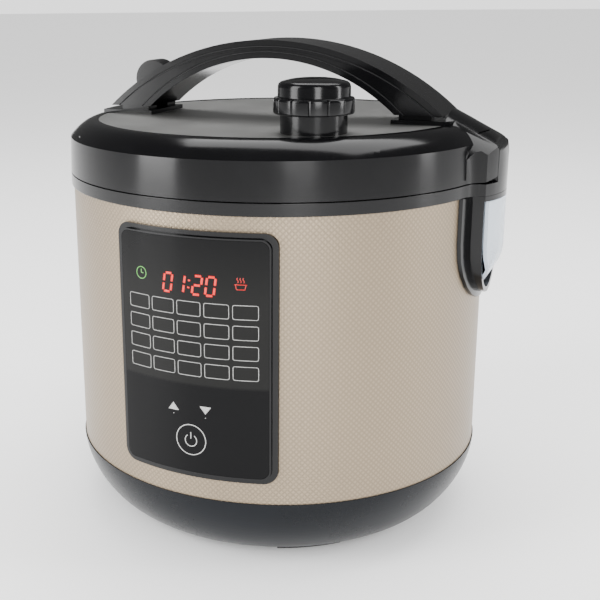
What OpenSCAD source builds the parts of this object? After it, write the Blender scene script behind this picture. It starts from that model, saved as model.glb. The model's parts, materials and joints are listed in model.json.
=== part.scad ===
// Electric multicooker with a hinged lid, an arch handle and a condensate cup.
// Origin: on the body's axis, in the plane the feet stand on. +Z up, -Y front, +X hinge side.

/* [Body] */
// Diameter of the metal shell
body_d = 270; // [250:1:330]
// Height of the metal shell
body_h = 172; // [143:1:210]
// Thickness of the metal shell
shell_t = 1; // [0.6:0.1:2]
// Height of the base bowl
base_h = 44; // [38:1:56]
// Diameter of the flat underside of the base
base_flat_d = 206; // [200:1:216]
// Wall of the base bowl
base_t = 3; // [2.5:0.5:4]
// Fullness of the bowl's curve, 2 for a quarter ellipse
base_curve = 1.65; // [1.5:0.05:2.4]
// Height of the feet below the base
foot_h = 4; // [3:0.5:8]

/* [Top ring] */
// Height of the ring above the shell
ring_h = 7.5; // [6.5:0.5:12]
// How far the ring and the lid stand proud of the shell
ring_proud = 1.5; // [0.5:0.1:3]
// Gap between the ring and the closed lid
seam_gap = 0.6; // [0.4:0.1:1.2]

/* [Lid] */
// Height of the lid's upright wall
lid_wall_h = 23.4; // [20:0.1:34]
// Height of the sloping shoulder
shoulder_h = 9.1; // [8:0.1:14]
// How far the shoulder leans in
shoulder_run = 18.1; // [14:0.1:20]
// Wall of the lid
lid_t = 3; // [2.5:0.5:4]
// How far the top plate lies below the rim
plate_drop = 0.6; // [0.2:0.1:2]

/* [Handle] */
// Width of the handle across the lid
handle_w = 44; // [38:1:56]
// Height of the handle's top above the lid's rim
handle_rise = 48.6; // [44:0.1:60]
// Height of the handle's foot line above the lid's rim
handle_foot = 4.7; // [4:0.1:8]
// Radius of the outer curve
handle_ro = 168.2; // [160:0.1:200]
// Thickness of the handle at its top
handle_t = 11.3; // [10:0.1:16]
// Radius of the inner curve
handle_ri = 123.5; // [120:0.1:130]
// Depth of the parting line below the outer curve, at the top
handle_split = 5.9; // [5:0.1:7]
// Skin of the two handle halves
handle_skin = 2.5; // [2:0.1:3]

/* [Control panel] */
// Width of the panel frame
panel_w = 100; // [90:1:120]
// Height of the panel frame
panel_h = 149; // [110:1:160]
// Distance of the panel's top edge below the ring
panel_top = 9; // [6:1:30]
// How far the panel stands proud of the shell
panel_proud = 4; // [3:0.1:7]
// Width of the glossy face
face_w = 92; // [80:1:110]
// Height of the glossy face
face_h = 141; // [102:1:152]

/* [Hinge and condensate cup] */
// Width of the hinge block
block_w = 56; // [50:1:70]
// Reach of the hinge block from the body's axis, past the shell
block_out = 14; // [13:0.5:20]
// Distance of the hinge axis inside the block's outer face
axis_in = 11.5; // [10:0.1:13]
// Height of the hinge axis above the ring
axis_up = 16.5; // [15:0.1:20]
// Radius of the hinge pin
pin_r = 2; // [1.5:0.1:3]
// Length of the cup below the ring
cup_h = 62; // [50:1:80]
// Width of the cup
cup_w = 49; // [42:1:50]

/* [Pot and heater] */
// Outer diameter of the cooking pot
pot_d = 224; // [200:1:226]
// Wall of the pot
pot_t = 1.5; // [1:0.1:3]
// Height of the pot's underside above the base's underside
pot_up = 76; // [72:1:90]
// Diameter of the heating plate
heater_d = 172; // [150:1:190]
// Thickness of the heating plate
heater_t = 12; // [8:1:16]

/* [Steam valve] */
// Distance of the valve from the axis to the hinge side
valve_x = 51.5; // [40:0.5:60]
// Distance of the valve towards the front
valve_y = 77; // [60:0.5:80]
// Diameter of the valve's neck and cap
valve_d = 38.6; // [32:0.2:44]
// Diameter of the valve's grip ring
grip_d = 46.4; // [42:0.2:50]

/* [Hidden] */
$fn = 96;
fit = 0.3;
run_fit = 0.05;

// Levels
z_base = foot_h;
z_shell = z_base + base_h;
z_top = z_shell + body_h;
z_seam = z_top + ring_h;
z_lid = z_seam + seam_gap;
z_crease = z_lid + lid_wall_h;
z_rim = z_crease + shoulder_h;
z_plate = z_rim - plate_drop;

// Radii
body_r = body_d / 2;
ring_r = body_r + ring_proud;
rim_r = ring_r - shoulder_run;
flat_r = base_flat_d / 2;
bowl_top_r = body_r + 0.7;

// Pot opening
pot_r = pot_d / 2;
lip_r = pot_r + 6.5;
lip_t = 1.5;
open_r = lip_r + 1;
ledge_r = pot_r + 3.5;
z_ledge = z_top + 2;
z_lip = z_ledge + lip_t;
z_pot = z_base + pot_up;
ring_under = z_top - 1;

// Handle curves, as circles in the XZ plane
z_handle = z_rim + handle_rise;
z_foot = z_rim + handle_foot;
outer_c = z_handle - handle_ro;
inner_c = z_handle - handle_t - handle_ri;
split_r = handle_ro + 4.1;
split_c = z_handle - handle_split - split_r;
pad_top = z_foot - 2.8;
pad_in = 82;
pad_out = rim_r + 2.6;
pad_w = handle_w + 3;
pad_t = 6;
screw_x = 96;
screw_y = 13;

// Hinge
block_reach = body_r + block_out;
hinge_x = block_reach - axis_in;
hinge_z = z_seam + axis_up;
block_arc = 59;
block_round = 23.5;
block_drop = 24.1;
block_lean = 27;
crown_r = 50;
knuckle_r = axis_in + 0.5;
upstand_w = 33;
pin_l = block_w - 8;
spring_half = 7;
spring_r = 5;

// Latch, on the side away from the hinge
latch_w = 12;
lever_x = -(open_r + 6);
lever_z = z_seam + 18.5;
lever_t = 3;
nose_l = 3.8;
slot_in = open_r + 1.5;
slot_out = ring_r - 5.9;
catch_z = ring_under - 1.6;
button_r = 13;
button_x = -89;
button_z = z_rim + 21.4;
button_w = 14;

// Panel
z_panel_hi = z_top - panel_top;
z_panel_lo = z_panel_hi - panel_h;
z_panel = (z_panel_hi + z_panel_lo) / 2;
face_r = body_r + panel_proud;
plug_w = 68;
plug_h = panel_h - 28;
plug_back = body_r - 14;

// Condensate housing
house_h = cup_h + 6;
z_cup = z_top - cup_h;
cup_back = body_r + 2.4;
cup_arc = 60;
cup_reach = block_reach;
cup_drop = 3;
bow_h = cup_h - 25;
bow_r = 60;

// Supports
post_r = 92;
board_z = z_base + base_t + 7;
shield_r = ledge_r - 0.5;
z_shield = z_pot - heater_t - 8;
inlet_y = 112;
inlet_z = z_base + 23;
inlet_w = 48;
inlet_h = 24;
terminal_x = 60;

// Lid inside
z_liner = z_lid + 0.9;
liner_t = 3;
liner_r = ring_r - lid_t - 0.5;
boss_r = liner_r - 9;
duct_r = 14;

function bowl_r(k, top_r, low_r) =
  low_r + (top_r - low_r) * pow(1 - pow(k, base_curve), 1 / base_curve);
function arc(cx, cy, r, a0, a1, n) =
  [for (i = [0:n]) [cx + r * cos(a0 + (a1 - a0) * i / n), cy + r * sin(a0 + (a1 - a0) * i / n)]];

// Tube between two radii and two levels
module tube(ro, ri, z0, z1) {
  difference() {
    translate([0, 0, z0]) cylinder(r = ro, h = z1 - z0);
    translate([0, 0, z0 - 1]) cylinder(r = ri, h = z1 - z0 + 2);
  }
}

// Shape drawn in the XZ plane, carried across Y
module across(w) {
  translate([0, w / 2, 0]) rotate([90, 0, 0]) linear_extrude(w) children();
}

// Cylinder along Y
module y_rod(x, z, r, l) {
  translate([x, l / 2, z]) rotate([90, 0, 0]) cylinder(r = r, h = l);
}

// Rectangle with round corners, drawn from its middle
module round_rect(w, h, r) {
  for (s = [-1, 1]) translate([s * (w / 2 - r), 0]) square([2 * r, h - 2 * r], center = true);
  square([w - 2 * r, h], center = true);
  for (x = [-1, 1], y = [-1, 1]) translate([x * (w / 2 - r), y * (h / 2 - r)]) circle(r = r);
}

// Bar that goes through the front wall, with round corners
module front_bar(w, h, r) {
  translate([0, -body_r + 40, z_panel]) rotate([90, 0, 0]) linear_extrude(80) round_rect(w, h, r);
}

// Plan of the hinge block
module block_plan(w) {
  intersection() {
    translate([block_reach - block_arc, 0]) circle(r = block_arc);
    translate([body_r - 20, -w / 2]) square([90, w]);
  }
}

// Plan of the hollow flanks between the ring and the block
module block_flanks() {
  h = block_w / 2;
  far = h + 8;
  for (m = [0, 1]) mirror([0, m])
    polygon([[body_r - 16, h - 2], [body_r - 16, far], [sqrt(pow(ring_r, 2) - pow(far, 2)), far],
      [ring_r - 1.5, h + 2.5], [ring_r + 1.5, h], [ring_r + 1.5, h - 2]]);
}

// Half-ellipse below a rectangle, drawn as Y across and Z up
module u_shape(w, top, mid, low) {
  polygon(concat([[w / 2, top], [-w / 2, top]],
    [for (i = [0:12]) [-w / 2 * cos(180 * i / 12), mid - (mid - low) * sin(180 * i / 12)]]));
}

// Shape drawn as Y across and Z up, carried along X
module outwards(x0, x1) {
  translate([x0, 0, 0]) rotate([90, 0, 90]) linear_extrude(x1 - x0) children();
}

// Coil spring about the Z axis, as one swept tube
module coil(r, wire, h, turns) {
  seg = 14;
  n = turns * seg;
  sides = 6;
  pts = [for (i = [0:n], j = [0:sides - 1])
    let(a = 360 * i / seg, b = 360 * j / sides, q = r + wire * cos(b))
      [q * cos(a), q * sin(a), wire + (h - 2 * wire) * i / n + wire * sin(b)]];
  walls = [for (i = [0:n - 1], j = [0:sides - 1])
    let(k = (j + 1) % sides) [i * sides + j, (i + 1) * sides + j, (i + 1) * sides + k, i * sides + k]];
  ends = [[for (j = [0:sides - 1]) j], [for (j = [sides - 1:-1:0]) n * sides + j]];
  polyhedron(points = pts, faces = concat(walls, ends));
}

// Wire through a list of points: a six-sided tube with one ring at each point
module wire_run(pts, r) {
  sides = 6;
  n = len(pts) - 1;
  unit = [for (i = [0:n]) let(d = pts[min(i + 1, n)] - pts[max(i - 1, 0)]) d / norm(d)];
  side = [for (t = unit) let(c = cross(t, [0.1, 0.2, 1])) c / norm(c)];
  rings = [for (i = [0:n], j = [0:sides - 1])
    pts[i] + r * (cos(360 * j / sides) * side[i] + sin(360 * j / sides) * cross(unit[i], side[i]))];
  walls = [for (i = [0:n - 1], j = [0:sides - 1])
    let(k = (j + 1) % sides) [i * sides + j, i * sides + k, (i + 1) * sides + k, (i + 1) * sides + j]];
  ends = [[for (j = [sides - 1:-1:0]) j], [for (j = [0:sides - 1]) n * sides + j]];
  polyhedron(points = rings, faces = concat(walls, ends));
}

// Bowl under the shell, with the inlet's pocket, vents and screw holes
module base_housing() {
  n = 28;
  outer = [for (i = [0:n]) [bowl_r(i / n, bowl_top_r, flat_r), z_shell - base_h * i / n]];
  inner = [for (i = [0:n])
    [bowl_r(i / n, bowl_top_r - base_t, flat_r - base_t), z_shell - (base_h - base_t) * i / n]];
  color("#2b2e33") difference() {
    union() {
      difference() {
        rotate_extrude() polygon(concat([[0, z_base]], [for (i = [n:-1:0]) outer[i]], [[0, z_shell]]));
        difference() {
          rotate_extrude()
            polygon(concat([[0, z_base + base_t]], [for (i = [n:-1:0]) inner[i]], [[0, z_shell + 1]]));
          translate([-inlet_w / 2 - 4, inlet_y - 3, z_base])
            cube([inlet_w + 8, 60, inlet_z + inlet_h / 2 + 4 - z_base]);
        }
      }
      tube(body_r - shell_t - fit, body_r - shell_t - fit - 2, z_shell - 3, z_shell + 6);
    }
    translate([-inlet_w / 2 - 1, inlet_y, inlet_z - inlet_h / 2 - 1]) cube([inlet_w + 2, 60, inlet_h + 2]);
    translate([-14.3, inlet_y - 10, inlet_z - 10.3]) cube([28.6, 20, 20.6]);
    for (a = [0:30:330]) rotate(a) translate([40, -2, z_base - 1]) cube([24, 4, base_t + 2]);
    for (a = [30, 150, 270]) rotate(a) translate([post_r, 0, z_base - 1]) {
      cylinder(r = 2.1, h = base_t + 2);
      cylinder(r = 4, h = 3);
    }
    for (a = foot_angles) rotate(a - foot_span / 2)
      rotate_extrude(angle = foot_span)
        translate([foot_in - fit, z_base - 1]) square([foot_out - foot_in + 2 * fit, 2.2]);
  }
}
foot_angles = [-57, 57, 123, 237];
foot_span = 24;
foot_in = flat_r - 17;
foot_out = flat_r - 2;

// Four curved pads, let into the base
module rubber_feet() {
  color("#1c1c1c") for (a = foot_angles) rotate(a - foot_span / 2 + 0.3)
    rotate_extrude(angle = foot_span - 0.6)
      translate([foot_in, 0]) square([foot_out - foot_in, z_base + 1.2]);
}

// Screws from below into the posts
module base_screws() {
  color("silver") for (a = [30, 150, 270]) rotate(a) translate([post_r, 0, z_base]) difference() {
    union() {
      translate([0, 0, 0.4]) cylinder(r = 3.6, h = 1.6);
      cylinder(r = 1.9, h = 14);
    }
    translate([-2.5, -0.4, -1]) cube([5, 0.8, 2]);
    translate([-0.4, -2.5, -1]) cube([0.8, 5, 2]);
    translate([-5, -5, -1]) cube([10, 10, 1.4]);
  }
}

// Steel posts between the base and the heat shield
module support_posts() {
  color("silver") for (a = [30, 150, 270]) rotate(a) translate([post_r, 0, z_base + base_t]) difference() {
    cylinder(r = 5, h = z_shield - z_base - base_t);
    translate([0, 0, -1]) cylinder(r = 1.9 + run_fit, h = 14);
  }
}

// Three-pin appliance inlet
module power_inlet() {
  color("#222222") difference() {
    union() {
      translate([-inlet_w / 2, inlet_y, inlet_z - inlet_h / 2]) cube([inlet_w, 3, inlet_h]);
      translate([-14, inlet_y - 18, inlet_z - 10]) cube([28, 19, 20]);
    }
    translate([-12, inlet_y - 14, inlet_z - 8]) cube([24, 20, 16]);
  }
  color("silver") for (x = [-7, 0, 7]) translate([x - 1, inlet_y - 24, inlet_z - 2 + (x == 0 ? 4 : 0)])
    cube([2, 22, 4]);
}

// Board with its relay, transformer and capacitors, on four legs
module power_board() {
  color("#2f6b3a") translate([-50, -64, board_z]) cube([100, 58, 1.6]);
  color("#dddddd") for (x = [-45, 45], y = [-59, -11]) translate([x, y, z_base + base_t])
    cylinder(r = 2.5, h = board_z - z_base - base_t);
  color("#222222") translate([-42, -56, board_z + 1.6]) cube([20, 16, 15]);
  color("#c9a13b") translate([-14, -54, board_z + 1.6]) cube([26, 22, 18]);
  color("#1d2a55") for (x = [22, 36]) translate([x, -46, board_z + 1.6]) cylinder(r = 5, h = 16);
}

// Leads between the inlet, the boards and the heating plate
module internal_wires() {
  low = board_z + 2.4;
  color("#b03030") wire_run([[-7, inlet_y - 25, inlet_z], [-10, 60, 30], [-30, 20, 34],
    [-45, -12, board_z + 14], [-47, -20, low]], 1.4);
  color("#3050a0") wire_run([[7, inlet_y - 25, inlet_z], [12, 62, 30], [30, 24, 36],
    [45, -10, board_z + 14], [46, -20, low]], 1.4);
  color("#e8e8e8") wire_run([[-47, -30, low], [-66, -34, 40], [-66, -16, 46], [-60, 0, z_shield - 5.8]], 1.4);
  color("#e8e8e8") wire_run([[46, -32, low], [66, -36, 40], [66, -16, 46], [60, 0, z_shield - 5.8]], 1.4);
  color("#e0d060") wire_run([[20, -60, low], [22, -84, 40], [16, -112, z_shield - 8],
    [12, 2 - plug_back, z_shield - 2], [10.5, 2.6 - plug_back, z_shield + 10],
    [10, 3 - plug_back, z_shield + 24]], 1.4);
}

// Patterned sheet rolled into a shell, with the panel's window
module outer_shell() {
  color("#beb4a5") difference() {
    tube(body_r, body_r - shell_t, z_shell, z_top);
    front_bar(plug_w + 2 * fit, plug_h + 2 * fit, 4);
    for (z = [z_top - 20, z_top - 45]) translate([body_r - 5, 0, z]) rotate([0, 90, 0])
      cylinder(r = 2, h = 10);
  }
}

// Ring that closes the shell, holds the pot and carries the hinge upstand
module top_ring() {
  spigot_r = body_r - shell_t - fit;
  color("#141416") difference() {
    union() {
      rotate_extrude() polygon([[ledge_r, ring_under], [ledge_r, z_ledge], [open_r, z_ledge],
        [open_r, z_seam], [ring_r, z_seam], [ring_r, z_top], [spigot_r, z_top],
        [spigot_r, z_top - 8], [spigot_r - 2.5, z_top - 8], [spigot_r - 2.5, ring_under]]);
      translate([0, 0, z_top]) linear_extrude(ring_h) difference() {
        union() {
          block_plan(block_w);
          block_flanks();
        }
        circle(r = ring_r - 1);
      }
      intersection() {
        translate([0, 0, z_seam - 1]) linear_extrude(axis_up + knuckle_r + 2) block_plan(upstand_w);
        across(upstand_w + 2) block_side(z_seam - 1);
        crown();
        union() {
          y_rod(hinge_x, hinge_z, knuckle_r, upstand_w);
          translate([hinge_x - 5, -upstand_w / 2, z_seam - 1]) cube([60, upstand_w, axis_up + 1]);
        }
      }
    }
    y_rod(hinge_x, hinge_z, pin_r + run_fit, upstand_w + 2);
    y_rod(hinge_x, hinge_z, spring_r, 2 * spring_half);
    translate([-slot_out, -latch_w / 2 - 2, ring_under - 1])
      cube([slot_out - slot_in, latch_w + 4, z_seam - ring_under + 2]);
    for (y = [-13.5, 13.5]) translate([-slot_in - 5, y, ring_under - 1]) cylinder(r = 1.3, h = 6);
  }
}

// Frame that stands proud of the shell and holds the face and the boards
module control_panel_frame() {
  color("#121214") difference() {
    union() {
      intersection() {
        tube(face_r, body_r + fit, z_panel_lo - 1, z_panel_hi + 1);
        front_bar(panel_w - 6, panel_h - 6, 6);
      }
      intersection() {
        tube(body_r + panel_proud / 2, body_r + fit, z_panel_lo - 1, z_panel_hi + 1);
        front_bar(panel_w, panel_h, 8);
      }
      intersection() {
        translate([-plug_w / 2, -body_r - 2, z_panel_lo]) cube([plug_w, body_r - plug_back + 2, panel_h]);
        tube(body_r + 1, plug_back - 20, z_panel_lo, z_panel_hi);
        front_bar(plug_w, plug_h, 4);
      }
    }
    intersection() {
      tube(face_r + 1, face_r - 1.2, z_panel_lo, z_panel_hi);
      front_bar(face_w, face_h, 5);
    }
    front_bar(plug_w - 4, plug_h - 4, 3);
  }
}

// Glossy touch face over the display
module control_panel_face() {
  color("#0c0c0e") intersection() {
    tube(face_r, face_r - 1.2, z_panel_lo, z_panel_hi);
    front_bar(face_w - fit, face_h - fit, 5);
  }
}

// Four-digit display behind the face
module display_module() {
  color("#301010") translate([-28, -plug_back - 13, z_panel_hi - 43]) cube([56, 9, 24]);
  color("#301010") translate([-26, -plug_back - 4.5, z_panel_hi - 41]) cube([52, 4.5, 20]);
}

// Board with the touch sensors, on the frame's back edge
module control_board() {
  color("#2f6b3a") translate([-plug_w / 2, -plug_back, z_panel - plug_h / 2 + 4])
    cube([plug_w, 1.6, plug_h - 8]);
}

// Sheet-metal well that hangs from the ring round the pot
module heat_shield() {
  color("#b9bcc0") difference() {
    union() {
      tube(shield_r, shield_r - 0.8, z_shield, ring_under);
      tube(shield_r + 3, shield_r - 0.8, ring_under - 0.8, ring_under);
      translate([0, 0, z_shield]) cylinder(r = shield_r, h = 0.8);
    }
    translate([0, 0, z_shield - 1]) cylinder(r = 22, h = 3);
    for (x = [-terminal_x, terminal_x]) translate([x, 0, z_shield - 1]) cylinder(r = 6, h = 3);
  }
}

// Cast plate with its element's terminals
module heating_plate() {
  color("#a8abae") difference() {
    union() {
      translate([0, 0, z_pot - heater_t]) cylinder(r = heater_d / 2, h = heater_t);
      for (x = [-terminal_x, terminal_x]) translate([x, 0, z_shield - 4]) cylinder(r = 3, h = 13);
    }
    translate([0, 0, z_pot - heater_t - 1]) cylinder(r = 19, h = heater_t + 2);
    translate([0, 0, z_pot - heater_t - 1]) difference() {
      cylinder(r = heater_d / 2 - 8, h = 4);
      cylinder(r = 50, h = 4);
      for (a = [0:60:300]) rotate(a) translate([0, -7, 0]) cube([heater_d / 2, 14, 4]);
    }
  }
}

// Spacers between the heat shield and the plate
module heater_standoffs() {
  color("silver") for (a = [60, 120, 240, 300]) rotate(a) translate([70, 0, z_shield + 0.8])
    cylinder(r = 5, h = z_pot - heater_t - z_shield - 0.8);
}

// Thermal fuse in its clip, under the heat shield
module thermal_fuse() {
  color("#d8d8d8") {
    translate([-12, 40, z_shield - 3]) rotate([0, 90, 0]) cylinder(r = 2.5, h = 24);
    translate([-3, 36.5, z_shield - 3]) cube([6, 7, 3]);
  }
}

// Band heater round the well
module side_heater() {
  band_r = shield_r + 0.1;
  color("#8f9296") difference() {
    union() {
      tube(band_r + 2.4, band_r, z_pot + 40, z_pot + 70);
      translate([-6, band_r - 1, z_pot + 48]) cube([12, 9, 14]);
    }
    translate([-2, 0, z_pot + 39]) cube([4, 200, 32]);
    translate([0, 0, z_pot + 39]) cylinder(r = band_r, h = 32);
  }
}

// Strap that carries the sensor
module sensor_bracket() {
  color("silver") difference() {
    union() {
      translate([-28, -8, z_shield - 8]) cube([56, 16, 1.2]);
      for (x = [-28, 26.8]) translate([x, -8, z_shield - 8]) cube([1.2, 16, 8]);
    }
    translate([0, 0, z_shield - 9]) cylinder(r = 5 + run_fit, h = 4);
  }
}

// Sprung sensor that presses on the pot's underside
module temperature_sensor() {
  color("#c9cccf") {
    translate([0, 0, z_pot - 8]) cylinder(r = 14, h = 7.7);
    translate([0, 0, z_shield - 12]) cylinder(r = 5, h = z_pot - 8 - z_shield + 12);
  }
}

module sensor_spring() {
  color("silver") translate([0, 0, z_shield - 6.7]) coil(8, 0.7, z_pot - 8.1 - z_shield + 6.7, 5);
}

// Spun pot with a rolled lip
module cooking_pot() {
  corner = 20;
  outer = arc(pot_r - corner, z_pot + corner, corner, -90, 0, 8);
  inner = arc(pot_r - corner, z_pot + corner, corner - pot_t, 0, -90, 8);
  color("#3a3a3d") rotate_extrude() polygon(concat([[0, z_pot]], outer, [[pot_r, z_ledge],
    [lip_r, z_ledge], [lip_r, z_lip], [pot_r - pot_t, z_lip]], inner, [[0, z_pot + pot_t]]));
}

// Steel strike plate under the ring
module latch_catch() {
  color("silver") difference() {
    intersection() {
      translate([-slot_out - 1, -17, catch_z]) cube([slot_out - slot_in + 4, 34, 1.6]);
      cylinder(r = body_r - shell_t - 2 * fit - 2.5, h = z_top);
    }
    translate([-slot_out - 2, -latch_w / 2 - 1.5, catch_z - 1])
      cube([slot_out + lever_x + lever_t / 2 + 3.6, latch_w + 3, 4]);
    for (y = [-13.5, 13.5]) translate([-slot_in - 5, y, catch_z - 1]) cylinder(r = 1.3, h = 4);
  }
  color("silver") for (y = [-13.5, 13.5]) translate([-slot_in - 5, y, catch_z - 1.2]) {
    cylinder(r = 2.4, h = 1.2);
    cylinder(r = 1.25, h = 6);
  }
}

// Black housing on the shell below the hinge block: a curved back plate, a roof and a lip for the cup
module condensate_housing() {
  back_r = body_r + fit;
  low = z_top - house_h;
  collar = 4;
  color("#141416") {
    intersection() {
      tube(cup_back, back_r, low - 1, z_top);
      outwards(body_r - 20, block_reach) u_shape(block_w + 25, z_top + 1, z_top - 28, low);
    }
    difference() {
      translate([0, 0, z_top - cup_drop]) linear_extrude(cup_drop) block_plan(block_w);
      translate([0, 0, z_top - cup_drop - 1]) cylinder(r = cup_back - 1, h = cup_drop + 2);
    }
    difference() {
      outwards(body_r - 6, cup_back + collar) u_shape(cup_w + 6, z_top - cup_drop + 0.5, z_top - 30, z_cup - 3);
      outwards(body_r - 7, cup_back + collar + 1) u_shape(cup_w + 0.8, z_top, z_top - 30, z_cup + 0.2);
      translate([0, 0, z_cup - 4]) cylinder(r = back_r, h = cup_h + 5);
    }
    for (z = [z_top - 20, z_top - 45]) translate([back_r - 3, 0, z]) rotate([0, 90, 0])
      cylinder(r = 1.8, h = 4);
  }
}

// Side outline of the cup's outer face, drawn inwards by an offset
module cup_side(inset) {
  low = z_top - cup_h;
  polygon(concat([[cup_back, z_top + 1], [cup_back, low]],
    [for (i = [10:-1:0]) let(d = bow_h * i / 10)
      [cup_reach - inset - bow_r + sqrt(pow(bow_r, 2) - pow(d, 2)), low + bow_h - d]],
    [[cup_reach - inset, z_top + 1]]));
}

// Reservoir behind the cover, grown or shrunk by an inset
module reservoir(inset, open_top) {
  top = z_top - cup_drop - fit + open_top;
  intersection() {
    outwards(cup_back + fit + inset, cup_reach + 1)
      u_shape(cup_w - 13 - 2 * inset, top, z_top - 24, z_top - 42 + inset);
    translate([0, 0, z_cup]) linear_extrude(cup_h + 2) translate([cup_reach - cup_arc, 0])
      circle(r = cup_arc - 1 - inset);
    across(cup_w) cup_side(1 + inset);
  }
}

// Clear cup: a bowed cover with the reservoir behind it
module condensate_cup() {
  top = z_top - cup_drop - fit;
  color("#dfe6ec", 0.6) difference() {
    union() {
      intersection() {
        translate([0, 0, z_cup]) linear_extrude(top - z_cup) difference() {
          translate([cup_reach - cup_arc, 0]) circle(r = cup_arc);
          translate([0, -cup_w]) square([cup_back + fit, 2 * cup_w]);
        }
        outwards(cup_back, cup_reach + 1) u_shape(cup_w, top, z_top - 30, z_cup + 0.6);
        difference() {
          across(cup_w + 2) cup_side(0);
          intersection() {
            across(cup_w + 4) cup_side(2);
            translate([0, 0, z_cup - 1]) linear_extrude(cup_h + 2) translate([cup_reach - cup_arc, 0])
              circle(r = cup_arc - 2);
          }
        }
      }
      reservoir(0, 0);
    }
    reservoir(1.6, 2);
  }
}

module hinge_pin() {
  color("silver") y_rod(hinge_x, hinge_z, pin_r, pin_l);
}

module hinge_spring() {
  l = 2 * spring_half - 1;
  color("silver") translate([hinge_x, l / 2, hinge_z]) rotate([90, 0, 0]) coil(pin_r + 1.2, 0.6, l, 7);
}

// Side outline of the lid's hinge block: a round outer corner and a leaning top
module block_side(low) {
  cx = block_reach - block_round;
  cz = z_rim - block_drop;
  a = 90 - block_lean;
  tip = [cx + block_round * cos(a), cz + block_round * sin(a)];
  run = tip[0] - rim_r + 6;
  polygon(concat([[rim_r - 6, low], [block_reach, low]], arc(cx, cz, block_round, 0, a, 10),
    [[rim_r - 6, tip[1] + run * tan(block_lean)]]));
}

// Hinge block on the lid, crowned across its width, with its core behind the knuckle
module lid_block() {
  inner_r = ring_r - lid_t;
  core_w = upstand_w + 7;
  intersection() {
    translate([0, 0, z_lid]) linear_extrude(80) union() {
      block_plan(block_w);
      block_flanks();
    }
    across(block_w + 20) block_side(z_lid);
    union() {
      difference() {
        translate([rim_r + 1, -block_w, z_lid - 1]) cube([60, 2 * block_w, 60]);
        translate([0, 0, z_lid - 2]) cylinder(r = inner_r + 1, h = z_crease - z_lid + 2);
        translate([0, 0, z_lid - 2]) cylinder(r = rim_r + 1, h = 100);
      }
      translate([hinge_x - knuckle_r - 4, -core_w / 2, z_lid - 1]) cube([60, core_w, lid_wall_h + 3]);
      translate([rim_r - 4, -handle_w / 2, pad_top - 1]) cube([8, handle_w, 30]);
    }
    crown();
  }
}
// Height of the crown's axis line, measured square to the leaning top
crown_c = (z_rim - block_drop) * cos(block_lean) + (block_reach - block_round) * sin(block_lean)
  + block_round - crown_r;

// Wide cylinder along the leaning top, which crowns the block across its width
module crown() {
  rotate([0, 90 + block_lean, 0]) translate([-crown_c, 0, -200]) cylinder(r = crown_r, h = 600);
}

// Lid body: wall, shoulder, plate ledge, handle pads, hinge block and latch lugs
module lid_ring() {
  inner_r = ring_r - lid_t;
  ledge_in = rim_r - 6;
  plate_z = z_plate - 1;
  shoulder = [for (i = [0:10]) let(k = 1 - i / 10)
    [rim_r + (shoulder_run - 1.8) * k, z_crease + shoulder_h * (1 - k * k)]];
  color("#141416") difference() {
    union() {
      rotate_extrude() polygon(concat([[inner_r, z_lid], [ring_r, z_lid], [ring_r - 0.8, z_crease - 1.2]],
        shoulder, [[rim_r - 0.5, z_rim], [rim_r - 0.5, plate_z], [ledge_in, plate_z],
        [ledge_in, plate_z - 2.5], [rim_r + 1, plate_z - 2.5], [inner_r - 4, z_crease],
        [inner_r, z_crease - 4]]));
      for (s = [-1, 1]) intersection() {
        translate([s > 0 ? pad_in : -pad_out - 2, -pad_w / 2, pad_top - pad_t])
          cube([pad_out + 2 - pad_in, pad_w, pad_t]);
        cylinder(r = pad_out, h = 400);
      }
      difference() {
        lid_block();
        difference() {
          translate([hinge_x, -block_w, z_lid - 1]) cube([40, 2 * block_w, hinge_z - z_lid + 1]);
          y_rod(hinge_x, hinge_z, axis_up - seam_gap, 3 * block_w);
        }
      }
      for (a = [45:90:315]) rotate(a) translate([boss_r, 0, z_liner + liner_t])
        cylinder(r = 4, h = z_crease + 2 - z_liner - liner_t);
      for (a = [45:90:315]) rotate(a) translate([boss_r, -1.5, z_crease - 6]) cube([inner_r - boss_r, 3, 8]);
      for (y = [-1, 1]) translate([-inner_r - 0.5, y * 11.5 - 2, lever_z - 5])
        cube([inner_r + lever_x + 5, 4, 10]);
    }
    for (a = [45:90:315]) rotate(a) translate([boss_r, 0, z_liner + liner_t - 1])
      cylinder(r = 1.4 + run_fit, h = 14);
    for (x = [-screw_x, screw_x], y = [-screw_y, screw_y]) translate([x, y, pad_top - pad_t - 1])
      cylinder(r = 1.8, h = pad_t + 2);
    y_rod(lever_x, lever_z, 1.5 + run_fit, 40);
    y_rod(hinge_x, hinge_z, pin_r + run_fit, pin_l + 1);
    y_rod(hinge_x, hinge_z, knuckle_r + 0.6, upstand_w + 1.2);
    translate([hinge_x - 6.2, -upstand_w / 2 - 0.6, z_lid - 1])
      cube([60, upstand_w + 1.2, hinge_z - z_lid + 1]);
    translate([-pad_in - 27, -button_w / 2 - 1, pad_top - pad_t - 1]) cube([26, button_w + 2, pad_t + 2]);
  }
}

// Flat top plate, cut round the handle's pads and the valve
module lid_plate() {
  color("#a6a6a4") difference() {
    translate([0, 0, z_plate - 1]) cylinder(r = rim_r - 0.5 - fit, h = 1);
    for (s = [-1, 1]) translate([s > 0 ? pad_in - fit : -200, -pad_w / 2 - fit, z_plate - 2])
      cube([200 - pad_in + fit, pad_w + 2 * fit, 4]);
    translate([valve_x, -valve_y, z_plate - 2]) cylinder(r = duct_r + 0.5, h = 4);
  }
}

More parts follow.
